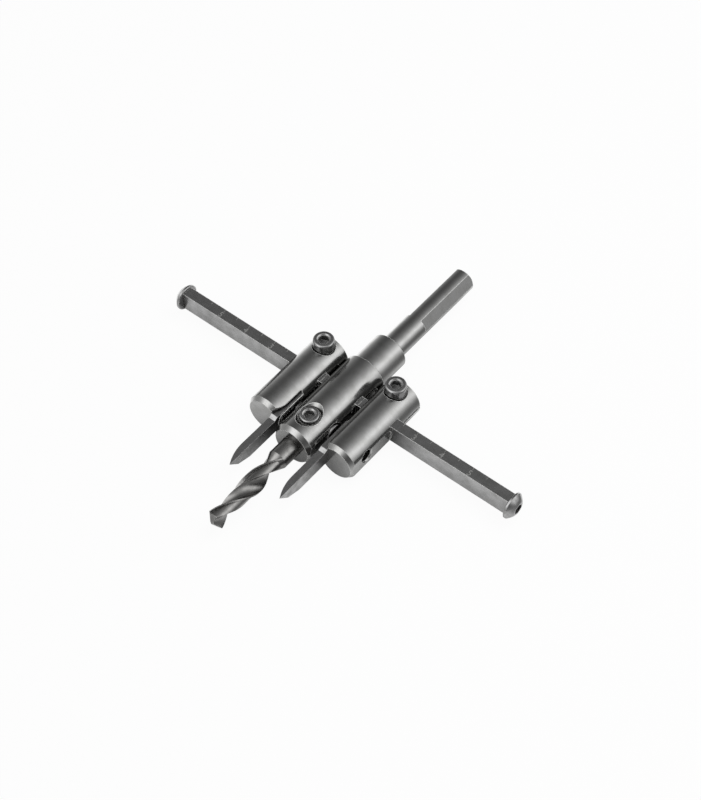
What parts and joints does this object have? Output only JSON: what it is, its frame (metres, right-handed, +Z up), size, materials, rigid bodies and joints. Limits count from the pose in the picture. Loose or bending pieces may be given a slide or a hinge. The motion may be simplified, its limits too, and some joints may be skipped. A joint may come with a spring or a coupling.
{
  "type": "adjustable circle cutter",
  "caption": "Adjustable circle cutter: two blades in sliding holders on a scaled beam, through a shanked arbor with a pilot drill.",
  "frame": {"origin": "on the tool axis, at the shoulder where the shank leaves the neck", "axes": "+Y along the tool axis towards the end of the shank, +X along the beam, +Z up"},
  "size_m": [0.1274, 0.1182, 0.0163],
  "materials": {
    "turned_steel": "satin, fine turned finish",
    "ground_steel": "ground",
    "tool_steel": "ground, darker hardened steel",
    "screw_steel": "dark, lightly oiled"
  },
  "bodies": {
    "arbor": {"arbor": "turned_steel", "beam": "ground_steel", "left_end_screw": "screw_steel", "right_end_screw": "screw_steel", "beam_lock_screw": "screw_steel"},
    "drill": {"pilot_drill": "tool_steel"},
    "top_drill_screw": {"top_drill_screw": "screw_steel"},
    "left_holder": {"left_holder": "turned_steel"},
    "left_clamp_screw": {"left_clamp_screw": "screw_steel"},
    "left_blade": {"left_blade": "tool_steel"},
    "left_blade_screw": {"left_blade_screw": "screw_steel"},
    "left_drill_screw": {"left_drill_screw": "screw_steel"},
    "right_holder": {"right_holder": "turned_steel"},
    "right_clamp_screw": {"right_clamp_screw": "screw_steel"},
    "right_blade": {"right_blade": "tool_steel"},
    "right_blade_screw": {"right_blade_screw": "screw_steel"},
    "right_drill_screw": {"right_drill_screw": "screw_steel"}
  },
  "joints": [
    {"name": "drill_slide", "type": "slide", "parent": "arbor", "child": "drill", "axis": [0, -1, 0], "range_m": [0, 0.004]},
    {"name": "top_drill_screw_turn", "type": "hinge", "parent": "arbor", "child": "top_drill_screw", "pos_m": [0, -0.03805, 0.0069], "axis": [0, 0, 1], "range_deg": [0, 180]},
    {"name": "left_holder_slide", "type": "slide", "parent": "arbor", "child": "left_holder", "axis": [-1, 0, 0], "range_m": [0, 0.0414]},
    {"name": "left_clamp_screw_turn", "type": "hinge", "parent": "left_holder", "child": "left_clamp_screw", "pos_m": [-0.0134, -0.01515, 0.0053], "axis": [0, 0, 1], "range_deg": [0, 180]},
    {"name": "left_blade_slide", "type": "slide", "parent": "left_holder", "child": "left_blade", "axis": [0, -1, 0], "range_m": [0, 0.004]},
    {"name": "left_blade_screw_turn", "type": "hinge", "parent": "left_holder", "child": "left_blade_screw", "pos_m": [-0.016, -0.03595, 0.001], "axis": [-1, 0, 0], "range_deg": [0, 180]},
    {"name": "left_drill_screw_turn", "type": "hinge", "parent": "arbor", "child": "left_drill_screw", "pos_m": [-0.007, -0.03495, 0], "axis": [-1, 0, 0], "range_deg": [0, 180]},
    {"name": "right_holder_slide", "type": "slide", "parent": "arbor", "child": "right_holder", "axis": [1, 0, 0], "range_m": [-0.0003, 0.041]},
    {"name": "right_clamp_screw_turn", "type": "hinge", "parent": "right_holder", "child": "right_clamp_screw", "pos_m": [0.0138, -0.01515, 0.0053], "axis": [0, 0, 1], "range_deg": [0, 180]},
    {"name": "right_blade_slide", "type": "slide", "parent": "right_holder", "child": "right_blade", "axis": [0, -1, 0], "range_m": [0, 0.004]},
    {"name": "right_blade_screw_turn", "type": "hinge", "parent": "right_holder", "child": "right_blade_screw", "pos_m": [0.0164, -0.03595, 0.001], "axis": [1, 0, 0], "range_deg": [0, 180]},
    {"name": "right_drill_screw_turn", "type": "hinge", "parent": "arbor", "child": "right_drill_screw", "pos_m": [0.007, -0.03495, 0], "axis": [1, 0, 0], "range_deg": [0, 180]}
  ]
}
